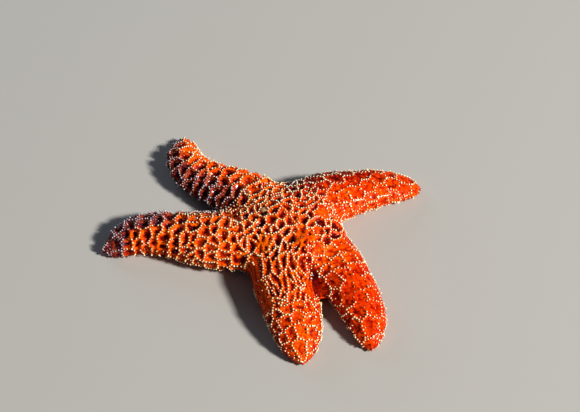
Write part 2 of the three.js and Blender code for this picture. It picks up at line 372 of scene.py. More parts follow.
# Bright patches with round pits and few spines: x, y and radius.
PITTED = [(10.5, -19.5, 9.5), (-17, -22, 6.5)]
# Places where the hollows get a purple-grey, partly the flesh's own bloom and partly painted shade: x, y
# and radius.
HOLLOW_BLOOM_AND_SHADE = [(-36, 6, 13), (-22, 3, 8), (17, 31, 8)]


def on_ray(index, s, arc):
    """A point on a ray's section at a distance along it, an arc's length to the left of its top, with
    the way along the ray there and the length of a quarter of the section."""
    ray = RAYS[index]
    places, turns = LINES[index]
    stations = np.linspace(0, ray.length, STATIONS + 1)
    x, y, turn = (np.interp(s, stations, v) for v in (places[:, 0], places[:, 1], turns))
    half, height = girth(ray, s)
    middle = height * BELLY
    quarter = 1.11 * np.hypot(half, height - middle)  # near enough, for an ellipse
    angle = arc / quarter * np.pi / 2
    up = np.cos(angle) * np.where(np.cos(angle) > 0, height - middle, middle * UNDERCUT)
    out = half * np.sin(angle)
    point = [x - out * np.sin(turn), y + out * np.cos(turn), middle + up]
    return np.array(point), np.array([np.cos(turn), np.sin(turn), 0]), quarter


def varied(dip, tone, rim, fold):
    """No two cells alike: some deep and dark, some shallow and bright."""
    return dip * RNG.uniform(0.55, 1.25), tone * RNG.uniform(0.5, 1.15), rim * RNG.uniform(0.7, 1.4), fold


def ray_cells(index):
    """A ray's cells: place, way along, half sizes, and dip, tone, rim and fold."""
    made = []
    for start, end, row in ZONES[index]:
        s = start
        count = 0
        while s < end:
            depth = row.along * RNG.uniform(0.86, 1.14)
            middle = s + depth / 2
            _, _, quarter = on_ray(index, min(middle, RAYS[index].length), 0)
            girdle = GIRDLE * quarter
            across = girdle / max(round(girdle / row.across), 1)
            shift = 0.5 * (count % 2) + RNG.uniform(-JITTER, JITTER)
            for step in range(-6, 7):
                arc = (step + shift + RNG.uniform(-JITTER, JITTER)) * across
                at = middle + RNG.uniform(-JITTER, JITTER) * depth
                if abs(arc) > LOWEST_ARC * quarter or at > RAYS[index].length - 2:
                    continue
                place, way, _ = on_ray(index, at, arc)
                lean = RNG.uniform(-0.5, 0.5) * min(row.across / row.along, 1)
                way = way * math.cos(lean) + np.cross([0, 0, 1], way) * math.sin(lean)
                if place[2] > 0:
                    made.append((place, way, (depth / 2, across / 2), *varied(*row[2:])))
            s += depth
            count += 1
    return made


def lie(x, y):
    """Which way the disk's cells run long at a place, and how much longer than wide they are."""
    angle = math.atan2(y, x)
    pull = float(ease(math.hypot(x, y), 8, 28))
    lean = np.zeros(2)
    longer = PLAIN_STRETCH
    for index, ray in enumerate(RAYS):
        heading = math.radians(ray.heading)
        share = pull * max(math.cos(angle - heading), 0) ** 4
        crosswise, stretch = LIE[index]
        turn = 2 * (heading + (math.pi / 2 if crosswise else 0))
        lean += share * np.array([math.cos(turn), math.sin(turn)])
        longer += share * (stretch - PLAIN_STRETCH)
    turn = math.atan2(lean[1], lean[0]) / 2 if np.hypot(*lean) > 0.15 else RNG.uniform(0, math.pi)
    return np.array([math.cos(turn), math.sin(turn)]), longer


def around(points, x, y, start, end):
    """1 within a first distance of a place, going down to 0 at a second."""
    return 1 - ease(np.hypot(points[:, 0] - x, points[:, 1] - y), start, end)


def pitted(points):
    """How much each point is on a pitted patch."""
    return np.max([around(points, x, y, 0.6 * r, 1.1 * r) for x, y, r in PITTED], 0)


def disk_cells(taken):
    """The disk's cells, thrown on at random as close as they may lie."""
    made = []
    for x, y, half_x, half_y, *looks in LOBES:
        made.append((np.array([x, y, DISK_HEIGHT]), np.array([1.0, 0, 0]), (half_x, half_y), *looks))
    places = [cell[0][:2] for cell in taken + made]
    room = [RAY_ROOM * min(cell[2]) for cell in taken] + [LOBE_ROOM * min(cell[2]) for cell in made]
    for _ in range(THROWS):
        x, y = RNG.uniform(-DISK_EDGE, DISK_EDGE, 2)
        if math.hypot(x, y) > DISK_EDGE:
            continue
        way, longer = lie(x, y)
        size = DISK_REACH * RNG.uniform(0.8, 1.15)
        in_patch = float(pitted(np.array([[x, y]]))[0])
        longer = mix(longer, 1, in_patch)
        reach = np.array([size * math.sqrt(longer), size / math.sqrt(longer)])
        gap = np.array(places) - (x, y)
        run = gap @ way
        off = gap @ [-way[1], way[0]]
        if (np.hypot(run / reach[0], off / reach[1]) < PACKING * 0.5 * (1 + np.array(room) / size)).any():
            continue
        places.append(np.array([x, y]))
        room.append(size)
        looks = varied(DISK_DIP, DISK_TONE, DISK_RIM + 0.7 * in_patch, DISK_FOLD)
        made.append((np.array([x, y, DISK_HEIGHT]), np.append(way, 0), tuple(reach), *looks))
    return made


Cells = namedtuple("Cells", "places ways reaches dips tones rims folds")


def all_cells():
    """The cells of the rays and the disk, settled on to the body."""
    rays = [cell for index in range(len(RAYS)) for cell in ray_cells(index)]
    columns = [np.array(column, float) for column in zip(*(rays + disk_cells(rays)))]
    cells = Cells(*columns)
    places, out = settled(cells.places, 8)
    ways = unit(cells.ways - out * (cells.ways * out).sum(1, keepdims=True))
    return cells._replace(places=places, ways=ways)


def nearest_cells(points, cells):
    """Each point's own cell, how far it is from the border with the next, and the way in from there."""
    run = points @ cells.ways.T - (cells.places * cells.ways).sum(1)
    gap = (points**2).sum(1)[:, None] + (cells.places**2).sum(1) - 2 * points @ cells.places.T
    far = run**2 / cells.reaches[:, 0] ** 2 + np.maximum(gap - run**2, 0) / cells.reaches[:, 1] ** 2
    pair = np.argpartition(far, 1, axis=1)[:, :2]
    each = np.arange(len(points))
    swap = far[each, pair[:, 0]] > far[each, pair[:, 1]]
    pair[swap] = pair[swap, ::-1]
    fars = []
    slopes = []
    for cell in pair.T:
        ahead = run[each, cell][:, None] * cells.ways[cell]
        aside = points - cells.places[cell] - ahead
        fars.append(np.sqrt(far[each, cell]) + 1e-9)
        slope = ahead / cells.reaches[cell, :1] ** 2 + aside / cells.reaches[cell, 1:] ** 2
        slopes.append(slope / fars[-1][:, None])
    inward = slopes[1] - slopes[0]
    steep = np.maximum(np.linalg.norm(inward, axis=1), 0.05)
    return pair[:, 0], (fars[1] - fars[0]) / steep, unit(inward)


# Wider hollows in the skin: x, y, radius, how deep, and how dark: the darkness is painted shade in the
# hollow.
HOLLOWS = [
    (-9, -22, 3, 2.2, 0.9), (-38, 7, 6, 2.0, 0.6), (-22, 2, 4.5, 1.2, 0.6), (16, 30, 4, 2.2, 0.8),
    (-10, -14, 2.6, 1.6, 0.6), (2, 22, 4, 1.6, 0.5), (-43, 19, 7, 0.5, 0.7),
]
# How red the flesh is at some places, from yellow-orange at 0 to deep red at 1. Between them it blends.
REDNESS = [
    (0, 0, 0.35), (-60, -12, 0.15), (-110, -40, 0.15), (-50, 50, 0.25), (-90, 85, 0.25), (50, 35, 0.75),
    (90, 60, 0.6), (50, -40, 0.95), (75, -70, 0.9), (-28, -32, -0.2), (-14, -48, 0), (0, -60, 0.5),
    (8, -95, 0.5), (11, -19, 0.15), (24, 3, 0.7), (-16, -22, -0.3),
]
REDNESS_SPAN = 18

PLATE = settled((middle_of("madreporite") - MIDDLE)[None], 8)[0][0]
PLATE_RADIUS = 2.3
PLATE_SEAT = 0.4  # how far the skin is sunk round it

# The grooves under the rays, from the mouth to their ends.
GROOVE_HALF = (4.3, 1.7)
GROOVE_DEPTH = (5.2, 1.8)
GROOVE_SPAN = 0.95  # of a ray's length
GROOVE_ROOF = 8  # the height under which the skin may belong to a groove
PIT_RADIUS = 7.2
PIT_DEPTH = 3.8

# The crease between the two front rays, sunk and darkened with painted shade.
CREASE = ((15.5, -31), (20.5, -54))
CREASE_DEPTH = 3.4
CREASE_SHADE = 0.95

# How far from its end a ray's cells begin to sink, and where they are at their full depth.
TIP_SPAN = (3, 18)
WANDER = [(1.8, 10), (0.7, 4)]  # how far the net's lines stray, and over what distance
ROUGH = 2.2  # the size of the skin's fine unevenness
PATCHY = 3.6  # and of its coarser one

# What the coat needs to know at each of the skin's vertices: the nearest place on the body's form and
# the way out of it, how far off the nearest ridge's middle is and the way in from there, how much it is
# outer skin, its own place, its marks, its place on the unwrap and whether that is on the upper island,
# how far across a groove it is, whether it is underneath, its place on its ray, how bare of spines it
# is, and how deep in the crease.
Skin = namedtuple(
    "Skin",
    "surface out border inward outer places marks uv upper across under ray s side sparse tuck",
)


def nearest_ray(points):
    """Which ray each point is on, how far along it, and how far to its left in half widths."""
    found = []
    for index, ray in enumerate(RAYS):
        s, side = along(index, points)
        half, height = girth(ray, s)
        found.append((domed(side, points[:, 2], half, height), s, side / half))
    far, s, side = np.array(found).transpose(1, 0, 2)
    nearest = (far.argmin(0), np.arange(len(points)))
    return nearest[0], s[nearest], side[nearest]


def vertex_uvs(mesh):
    """Each vertex's place on the unwrap, with the island it is on spread over the whole square, and
    whether that is the upper side's island."""
    owners = np.empty(len(mesh.loops), int)
    mesh.loops.foreach_get("vertex_index", owners)
    uv = np.zeros((len(mesh.vertices), 2))
    uv[owners] = read(mesh.uv_layers["OFBake"].data, "uv", 2)
    left = uv[:, 0] < 0.5
    for island in (left, ~left):
        lowest = uv[island].min(0)
        spread = (uv[island].max(0) - lowest).max()
        uv[island] = 0.01 + 0.98 * (uv[island] - lowest) / spread
    return uv, left if read(mesh.vertices, "normal")[left, 2].mean() > 0 else ~left


def shaded_flank(ray, s, side):
    """How much each point is on the flanks away from the light, which get a purple-grey, partly the flesh's
    own and partly painted shade, and where small pale spines stand close.
    """
    left = (ray == LEFT) * ease(-side + 1.3 * ease(s, 108, 126), -0.25, 0.15) * ease(s, 74, 92)
    left = np.maximum(left, (ray == LEFT) * 0.75 * ease(-side, 0.4, 0.75) * ease(s, 40, 56))
    back = (ray == BACK_LEFT) * ease(side, -0.05, 0.45) * ease(s, 30, 50)
    behind = (ray == BACK_RIGHT) * ease(side, 0.35, 0.8) * (1 - ease(s, 45, 75))
    return np.max([left, 0.85 * back, 0.6 * behind], 0)


def hollow_bloom_and_shade(points):
    """How much the hollows on the disk's shaded side get a purple-grey tint, partly the flesh's own and
    partly painted shade.
    """
    return 0.75 * np.max([around(points, x, y, 0.4 * r, r) for x, y, r in HOLLOW_BLOOM_AND_SHADE], 0)


def plain_lit_flank(ray, s, side):
    """How much each point is on the front ray's left flank, which has hardly a fold, and whose flesh is
    made brighter: painted light.
    """
    return (ray == FRONT) * ease(-side, 0.5, 0.85) * (1 - ease(s, 60, 80))


def bare_flank(ray, s, side):
    """How much each point is on the flanks where few spines stand."""
    back = (ray == BACK_LEFT) * ease(-side, 0.4, 0.75) * ease(s, 35, 50)
    by_crease = (ray == FRONT) * ease(side, 0.4, 0.65) * ease(s, 38, 44) * (1 - ease(s, 60, 75))
    return np.max([back, plain_lit_flank(ray, s, side), 0.6 * by_crease], 0)


def saddles(folds, run):
    """How much each point is on a low wall between two ridges that run across a ray."""
    return ease(folds, 0.3, 1.2) * (1 - ease(np.abs(run), 0.3, 0.85))


def shaded_side(ray, s, side):
    """Painted shade: how much darker and redder the flesh is on the smooth rays' flanks."""
    back = (ray == BACK_RIGHT) * ease(side, -0.3, 0.7) * (1 - ease(s, 55, 95))
    front = (ray == FRONT_RIGHT) * ease(-side, 0.1, 0.8)
    return 0.45 * back + 0.12 * front + 0.25 * (ray == FRONT) * ease(np.abs(side), 0.5, 0.95)


def crease(points):
    """How near each point is to the deep crease where the front ray lies against its neighbour."""
    x, y = points[:, 0] - CREASE[0][0], points[:, 1] - CREASE[0][1]
    run = np.array(CREASE[1]) - CREASE[0]
    share = np.clip((x * run[0] + y * run[1]) / (run @ run), 0, 1)
    far = np.hypot(x - share * run[0], y - share * run[1])
    return (1 - ease(far, 0.6, 3.4)) * ease(share, 0, 0.45)


def redness(points):
    """How red the flesh is at each point."""
    x, y, values = np.array(REDNESS).T
    gap = (points[:, :1] - x) ** 2 + (points[:, 1:2] - y) ** 2
    near = 1 / (gap + REDNESS_SPAN**2) ** 2
    return (near * values).sum(1) / near.sum(1)


def grooves(points):
    """How high the skin arches over the grooves and the mouth, and how far across its groove each
    point is, as a share of half its width."""
    rise = PIT_DEPTH * around(points, 0, 0, PIT_RADIUS - 0.6, PIT_RADIUS + 0.9)
    across = np.full(len(points), np.inf)
    for index, ray in enumerate(RAYS):
        s, side = along(index, points)
        share = s / (GROOVE_SPAN * ray.length)
        ratio = np.abs(side) / mix(*GROOVE_HALF, np.minimum(share, 1)) + 4 * np.maximum(share - 1, 0)
        arch = mix(*GROOVE_DEPTH, share**2) * np.sqrt(np.maximum(1 - ratio**2, 0))
        rise = np.maximum(rise, arch)
        across = np.minimum(across, ratio)
    return rise, across


def outer_share(points, facing, arch, from_end):
    """1 on the skin that the coat covers, and 0 in the grooves and on the flat underside."""
    steepest = mix(-0.6, 0.3, ease(from_end, 3, 10))
    in_groove = (arch > 0) & (facing < steepest) & (points[:, 2] < GROOVE_ROOF)
    flat = (points[:, 2] < FINE_ABOVE) * ease(-facing, 0.3, 0.8) * ease(-body_field(points), 0.6, 1.8)
    return 1 - np.maximum(in_groove, flat)


def in_cells(cells, own, border, run, rough, patches):
    """How deep the skin lies inside its cells' ridges, and how dark it is there: partly the flesh's own
    colour, partly painted shade deeper in the pits.
    """
    inside = np.maximum(border + 0.3 * rough[:, 0], 0)
    rim = cells.rims[own]
    depth = cells.dips[own] * ease(inside, 0.3 * rim, 2.2 + 1.4 * rim)
    depth += cells.folds[own] * (1 - ease(np.abs(run), 0.2, 0.95))
    tone = cells.tones[own] * ease(inside, rim, 2 + rim) * (0.85 + 1.1 * patches[:, 0])
    tone += 0.1 * rough[:, 1] + 0.06
    return depth, tone


def hollowed(surface, border, depth, tone, tuck):
    """The same once the crease and the wider hollows are sunk too, and darkened there with painted shade.
    """
    depth = depth + CREASE_DEPTH * tuck
    tone = np.maximum(tone, CREASE_SHADE * tuck)
    for x, y, radius, deep, dark in HOLLOWS:
        share = np.where(surface[:, 2] > 8, around(surface, x, y, 0.35 * radius, 1.3 * radius), 0)
        depth += deep * share
        tone = np.maximum(tone, dark * share * ease(border, 0.2, 1.6))
    return depth, tone


def sculpt(body, cells):
    """Moves the skin on to the body's form, inside it by the coat's depth, and sinks its cells."""
    mesh = body.data
    points = coords(mesh)
    arch, across = grooves(points)
    ray, s, side = nearest_ray(points)
    from_end = np.array([each.length for each in RAYS])[ray] - s
    outer = outer_share(points, read(mesh.vertices, "normal")[:, 2], arch, from_end)
    surface, out = settled(points)
    surface = mix(points, surface, outer[:, None])
    surface[:, 2] = np.maximum(surface[:, 2], 0)
    wandering = surface.copy()
    for by, size in WANDER:
        wandering += by * wobble(surface, size)
    own, border, inward = nearest_cells(wandering, cells)
    run = ((wandering - cells.places[own]) * cells.ways[own]).sum(1) / cells.reaches[own, 0]
    rough = wobble(surface, ROUGH)
    patches = wobble(surface, PATCHY)
    depth, tone = in_cells(cells, own, border, run, rough, patches)
    full = ease(from_end, *TIP_SPAN)
    plain = plain_lit_flank(ray, s, side)
    depth *= mix(0.3, 1, full)
    depth *= 1 - 0.6 * plain
    depth += (0.16 * rough[:, 2] + 0.3 * patches[:, 1]) * ease(border, 0.3, 1.5)
    # Painted light: the front ray's left flank is made brighter, as if the light fell on it.
    tone *= 1 - 0.8 * plain
    # The smooth rays' flanks get their painted shade.
    tone = tone * mix(0.5, 1, full) + shaded_side(ray, s, side)
    tuck = crease(surface) * ease(surface[:, 2], 5, 12)
    depth, tone = hollowed(surface, border, depth, tone, tuck)
    beside_plate = ease(np.linalg.norm(surface - PLATE, axis=1), PLATE_RADIUS, PLATE_RADIUS + 1.6)
    depth = mix(PLATE_SEAT, depth, beside_plate)
    rise = ease(surface[:, 2], 1, 6) * outer
    places = surface - out * (COAT * outer + depth * rise)[:, None]
    under = (outer < 0.5) | (points[:, 2] < UNDERSIDE)
    places[:, 2] = np.where(under, UNDERSIDE + arch * (1 - outer), np.maximum(places[:, 2], UNDERSIDE))
    out = np.where(under[:, None], [0, 0, -1], out)
    set_coords(mesh, places)
    red = redness(surface) + 0.25 * wobble(surface, 14)[:, 0] + 0.15 * patches[:, 2]
    smooth = (1 - ease(cells.dips[own], 0.9, 1.6)) * ease(border, 0.2, 1.0)
    # Painted shade, partly a real purple-grey bloom: on the flanks away from the light, and in the dark
    # hollows on the disk's shaded side.
    bloom_and_shade = np.maximum(shaded_flank(ray, s, side), hollow_bloom_and_shade(surface) * ease(tone, 0.2, 0.6))
    marks = {
        "tone": np.clip(tone * outer, 0, 1), "red": np.clip(red, 0, 1), "bloom_and_shade": bloom_and_shade * outer,
        "under": 1 - outer, "smooth": smooth * outer,
    }
    for name, values in marks.items():
        store(mesh, name, values)
    uv, upper = vertex_uvs(mesh)
    on_patch = pitted(surface) * ease(surface[:, 2], 16, 22)
    sparse = np.max([bare_flank(ray, s, side), saddles(cells.folds[own], run), on_patch], 0)
    return Skin(
        surface, out, border, inward, outer, places, marks, uv, upper, across, under, ray, s, side, sparse,
        tuck,
    )


# ---------------- the spines

# Each kind's outline, as its radius at heights from its root up, its number of sides, and how far it leans.
Kind = namedtuple("Kind", "outline sides lean")
CHAIN_SPINE = Kind([(0.55, -0.3), (0.33, 0.12), (0.4, 0.44), (0.6, 0.73), (0.48, 0.99), (0, 1.13)], 8, 0.09)
SMALL_SPINE = Kind([(0.5, -0.3), (0.34, 0.3), (0.5, 0.75), (0, 1.1)], 6, 0.15)
UNDER_SPINE = SMALL_SPINE._replace(lean=0.03)
GILL = Kind([(0.38, -0.2), (0.3, 0.35), (0, 0.68)], 5, 0.3)
TUBE_FOOT = Kind(
    [(0.75, -0.05), (0.5, 0.2), (0.42, 0.72), (0.62, 0.9), (0.85, 0.98), (0.3, 1.0), (0, 0.97)], 8, 0.05,
)
PATCH = 0.0015  # half the size of a spine's patch on the unwrap


def spine_form(outline, sides):
    """A spine's points about its root, its faces, how far along it each point is, and each face
    corner's place on its patch."""
    ring = np.arange(sides) * 2 * np.pi / sides
    circle = np.stack([np.cos(ring), np.sin(ring)], 1)
    points = [np.column_stack([circle * radius, np.full(sides, up)]) for radius, up in outline[:-1]]
    points = np.vstack(points + [[[0, 0, outline[-1][1]]]])
    rings = len(outline) - 1
    tip = np.append(np.repeat(np.arange(rings), sides), rings) / rings
    patch = np.vstack([circle * (1 - k / rings) for k in range(rings)] + [[[0, 0]]]) * PATCH
    faces = []
    for k in range(rings - 1):
        for j in range(sides):
            a, b = k * sides + j, k * sides + (j + 1) % sides
            faces.append((a, b, b + sides, a + sides))
    top = (rings - 1) * sides
    faces += [(top + j, top + (j + 1) % sides, top + sides) for j in range(sides)]
    faces.append(tuple(range(sides - 1, -1, -1)))
    corners = [patch[list(face)] for face in faces[:-1]]
    corners.append(patch[list(faces[-1])] * 0.1 + [PATCH * 1.2, 0])
    return points, faces, tip, np.vstack(corners)


def plant(name, kind, skin, index, roots, sizes, pale):
    """Joins a spine for each root into one mesh, with the skin's own marks at its root."""
    points, faces, tip, corners = spine_form(kind.outline, kind.sides)
    count = len(roots)
    axes = unit(skin.out[index] + RNG.normal(scale=kind.lean, size=(count, 3)))
    aside = unit(np.cross(axes, RNG.normal(size=(count, 3))))
    frame_of = np.stack([aside, np.cross(axes, aside), axes], 1)
    scale = np.broadcast_to(np.reshape(sizes, (count, -1)), (count, 3))
    placed = roots[:, None] + (points[None] * scale[:, None]) @ frame_of
    mesh = bpy.data.meshes.new(name)
    starts = np.arange(count) * len(points)
    every = [tuple(start + i for i in face) for start in starts.tolist() for face in faces]
    mesh.from_pydata(((placed.reshape(-1, 3) + MIDDLE) * MM).tolist(), [], every)
    store(mesh, "tip", np.tile(tip, count))
    store(mesh, "pale", np.repeat(pale, len(points)))
    for title, values in skin.marks.items():
        store(mesh, title, np.repeat(values[index], len(points)))
    layer = mesh.uv_layers.new(name="OFBake")
    layer.data.foreach_set("uv", (skin.uv[index][:, None] + corners[None]).ravel())
    mesh.polygons.foreach_set("use_smooth", np.ones(len(mesh.polygons), bool))
    piece = add(name, mesh)
    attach(piece, "root")
    return piece


def thinned(points, gaps, order):
    """Goes through the points in this order and keeps those with none kept nearer than their gap."""
    size = gaps.max()
    keys = np.floor(points / size).astype(int)
    kept = {}
    chosen = []
    steps = [(x, y, z) for x in (-1, 0, 1) for y in (-1, 0, 1) for z in (-1, 0, 1)]
    for i in order:
        x, y, z = keys[i].tolist()
        near = [k for dx, dy, dz in steps for k in kept.get((x + dx, y + dy, z + dz), ())]
        if near and np.linalg.norm(points[near] - points[i], axis=1).min() < gaps[i]:
            continue
        kept.setdefault((x, y, z), []).append(i)
        chosen.append(i)
    return np.array(chosen)


# For each ray and the disk, the gap between a chain's spines, and how far the noise that breaks the chains
# has to fall to break them: the lower the number, the fewer the breaks.
CHAINS = {
    LEFT: (1.6, -0.75), BACK_LEFT: (1.6, -0.7), BACK_RIGHT: (1.7, -0.5), FRONT_RIGHT: (1.7, -0.3),
    FRONT: (1.6, -0.55),
}
DISK_CHAINS = (1.4, -0.8)
DISK_SPAN = (24, 40)  # the distances along a ray over which the disk gives way to it
STANDING = 0.95  # the share of a chain's spines that are there
ON_RIDGE = 0.42  # how near a ridge's middle the chains' places are looked for
SPINES_FROM = 0.9  # how far from there the scattered spines begin
GILLS_FROM = 0.8
# The gaps where each kind is sparsest and where it is closest.
SPINE_GAPS = (3.4, 1.65)
GILL_GAPS = (2.3, 1.15)
UNDER_GAPS = (2.7, 1.6)
FOOT_GAP = 2.2


def chain_values(skin, near):
    """The gaps and breaks of the ray that each vertex is on, giving way to the disk's own."""
    on_ray = np.array([CHAINS[index] for index in range(len(RAYS))])[skin.ray[near]]
    return mix(np.array(DISK_CHAINS), on_ray, ease(skin.s[near], *DISK_SPAN)[:, None])


def bare(skin):
    """Where the coat may stand: on the outer skin, off the madreporite."""
    clear = np.linalg.norm(skin.surface - PLATE, axis=1) > PLATE_RADIUS + 0.7
    return (skin.outer > 0.9) & clear & (skin.surface[:, 2] > 2) & ~skin.under & (skin.tuck < 0.45)


def chain_spines(name, skin, side):
    """The white spines that follow the ridges of the net, broken here and there."""
    near = np.flatnonzero((skin.border < ON_RIDGE) & bare(skin) & side)
    places = (skin.surface - skin.border[:, None] * skin.inward)[near]
    swell = wobble(places, 11)
    gaps, breaks = chain_values(skin, near).T
    unbroken = swell[:, 0] > breaks + 0.8 * skin.sparse[near]
    near, places, swell, gaps = near[unbroken], places[unbroken], swell[unbroken], gaps[unbroken]
    order = np.argsort(places @ [0.77, 0.6, 0.3] + RNG.uniform(-0.4, 0.4, len(near)))
    chosen = thinned(places, gaps, order)
    chosen = chosen[RNG.uniform(size=len(chosen)) < STANDING]
    index = near[chosen]
    roots = places[chosen] - skin.out[index] * COAT
    sizes = (RNG.normal(0.98, 0.15, len(index)) + 0.15 * swell[chosen, 1]).clip(0.65, 1.3)
    pale = RNG.uniform(size=len(index))
    return plant(name, CHAIN_SPINE, skin, index, roots, sizes, pale)


def scattered_spines(name, skin, side):
    """Smaller spines between the ridges, sparse on top, and close low on the sides and on dark flanks."""
    bloom_and_shade = skin.marks["bloom_and_shade"]
    low_down = 1 - ease(skin.surface[:, 2], 9, 13)
    margin = np.maximum(0.4 * ease(np.abs(skin.side), 0.8, 0.98) * low_down, bloom_and_shade)
    margin = np.maximum(margin, 0.15 * (skin.marks["tone"] < 0.4) * (skin.border < 1.6))
    margin *= 1 - skin.sparse
    wanted = RNG.uniform(size=len(skin.border)) < mix(0.02, 1, margin)
    near = np.flatnonzero((skin.border > SPINES_FROM) & bare(skin) & side & wanted)
    gaps = mix(*SPINE_GAPS, margin[near])
    chosen = thinned(skin.places[near], gaps, RNG.permutation(len(near)))
    index = near[chosen]
    sizes = RNG.normal(0.72, 0.12, len(index)).clip(0.5, 0.95)
    pale = RNG.uniform(0.1, 0.7, len(index))
    return plant(name, SMALL_SPINE, skin, index, skin.places[index], sizes, pale)


def gills(name, skin, side):
    """The soft skin gills that fill the cells between the ridges."""
    near = np.flatnonzero((skin.border > GILLS_FROM) & bare(skin) & side)
    gaps = mix(*GILL_GAPS, ease(skin.marks["tone"][near], 0.1, 0.5))
    places = skin.places[near] + RNG.uniform(-0.3, 0.3, (len(near), 3))
    chosen = thinned(places, gaps, RNG.permutation(len(near)))
    index = near[chosen]
    sizes = RNG.normal(0.88, 0.2, len(index)).clip(0.45, 1.3)
    pale = RNG.uniform(0, 1, len(index)) ** 2
    return plant(name, GILL, skin, index, places[chosen], sizes, pale)


def under_spines(skin):
    """The blunt spines that the flat underside stands on, slimmer and closer along the grooves."""
    near = np.flatnonzero(skin.under & (skin.across > 1.05) & (skin.places[:, 2] < UNDERSIDE + 0.1))
    beside = 1 - ease(skin.across[near], 1.3, 1.8)
    chosen = thinned(skin.places[near], mix(*UNDER_GAPS, beside), np.argsort(skin.across[near]))
    index = near[chosen]
    broad = mix(1.05, 0.8, beside[chosen]) * RNG.uniform(0.85, 1.1, len(index))
    tall = np.full(len(index), (UNDERSIDE - 0.06) / UNDER_SPINE.outline[-1][1])
    sizes = np.column_stack([broad, broad, tall])
    pale = RNG.uniform(0, 0.6, len(index))
    return plant("spines_under", UNDER_SPINE, skin, index, skin.places[index], sizes, pale)


def tube_feet(skin):
    """The feet in the grooves, each reaching down to the floor and spreading into its sucker."""
    near = np.flatnonzero(skin.under & (skin.across < 0.8) & (skin.places[:, 2] > UNDERSIDE + 0.8))
    off_mouth = np.hypot(skin.places[near, 0], skin.places[near, 1]) > PIT_RADIUS + 1
    near = near[off_mouth]
    gaps = np.full(len(near), FOOT_GAP)
    chosen = thinned(skin.places[near] * [1, 1, 0], gaps, np.argsort(skin.s[near]))
    index = near[chosen]
    tall = skin.places[index, 2] - 0.1
    broad = mix(1.0, 0.7, skin.s[index] / 130) * RNG.uniform(0.9, 1.1, len(index))
    sizes = np.column_stack([broad, broad, tall])
    pale = RNG.uniform(size=len(index))
    return plant("tube_feet", TUBE_FOOT, skin, index, skin.places[index], sizes, pale)


body = fused_body()
unwrap(body)
refined(body)
skin = sculpt(body, all_cells())
smooth_shaded(body)
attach(body, "root")
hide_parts(*FLESH)
spines = [
    chain_spines("spines_chain", skin, skin.upper), chain_spines("spines_chain_low", skin, ~skin.upper),
    scattered_spines("spines_scattered", skin, skin.upper),
    scattered_spines("spines_scattered_low", skin, ~skin.upper), under_spines(skin),
]
soft_gills = [gills("gills", skin, skin.upper), gills("gills_low", skin, ~skin.upper)]
feet = tube_feet(skin)

# ---------------- the madreporite, mouth and eyespots

PLATE_RINGS = 12
PLATE_SPOKES = 54
PLATE_TOP = 0.45  # how far below the body's outer form the plate's middle lies
PLATE_DROP = 0.75  # how far its edge lies below its middle
PLATE_SKIRT = 1.2  # and how far its skirt goes down from there
PLATE_ROOT = 3  # how far down its underside's point is
FURROWS = 13
FURROW_DEPTH = 0.16


def madreporite():
    """The sieve plate: a low round dome with furrows that wander out from its middle."""
    _, out = settled(PLATE[None], 1)
    up = out[0]
    aside = unit(np.cross(up, [0, 1, 0]))
    forward = np.cross(up, aside)
    ring = np.repeat(np.arange(1, PLATE_RINGS + 1) / PLATE_RINGS, PLATE_SPOKES)
    turn = np.tile(np.arange(PLATE_SPOKES) * 2 * np.pi / PLATE_SPOKES, PLATE_RINGS)
    flat = np.column_stack([ring * np.cos(turn), ring * np.sin(turn)]) * PLATE_RADIUS
    sway = wobble(np.column_stack([flat, np.zeros(len(flat))]), 1.4)
    furrow = np.cos(FURROWS * turn + 5 * ring + 2.5 * sway[:, 0]) * ease(ring, 0.1, 0.4)
    height = -PLATE_TOP - PLATE_DROP * ring**3 - FURROW_DEPTH * (1 - ring**6) * furrow
    height -= PLATE_SKIRT * (ring == 1)
    places = PLATE + flat[:, :1] * aside + flat[:, 1:] * forward + height[:, None] * up
    places = np.vstack([PLATE - PLATE_TOP * up, places, PLATE - PLATE_ROOT * up])
    faces = []
    last = len(places) - 1
    for j in range(PLATE_SPOKES):
        after = (j + 1) % PLATE_SPOKES
        faces.append((0, 1 + j, 1 + after))
        for k in range(PLATE_RINGS - 1):
            a, b = 1 + k * PLATE_SPOKES + j, 1 + k * PLATE_SPOKES + after
            faces.append((a, a + PLATE_SPOKES, b + PLATE_SPOKES, b))
        edge = 1 + (PLATE_RINGS - 1) * PLATE_SPOKES
        faces.append((edge + j, last, edge + after))
    mesh = bpy.data.meshes.new("sieve_plate")
    mesh.from_pydata(((places + MIDDLE) * MM).tolist(), [], faces)
    store(mesh, "furrow", np.concatenate([[0], furrow, [0]]))
    piece = add("sieve_plate", mesh)
    edit(piece, lambda: bpy.ops.mesh.normals_make_consistent(inside=False))
    smooth_shaded(piece)
    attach(piece, "root")
    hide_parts("madreporite")
    return piece


def mouth_membrane():
    """The lips round the mouth, in radial folds, from a copy of the plain ring."""
    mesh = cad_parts["mouth"].data.copy()
    mesh.materials.clear()
    piece = add("mouth_membrane", mesh)
    edit(piece, merge_doubles, lambda: bpy.ops.mesh.subdivide(number_cuts=3))
    points = coords(mesh)
    reach = np.hypot(points[:, 0], points[:, 1])
    turn = np.arctan2(points[:, 1], points[:, 0])
    folds = np.cos(20 * turn) + 0.5 * np.cos(35 * turn + 2)
    low_side = ease(4.4 - points[:, 2], 0, 1)
    points[:, 2] += 0.22 * (folds + 0.6) * low_side * ease(reach, 1.6, 2.6) * (1 - ease(reach, 5.2, 6.4))
    points[:, :2] *= (1 + 0.05 * np.cos(5 * turn) * low_side * (1 - ease(reach, 4, 6)))[:, None]
    set_coords(mesh, points)
    smooth_shaded(piece)
    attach(piece, "root")
    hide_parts("mouth")
    return piece


plate = madreporite()
lips = mouth_membrane()

# ---------------- materials


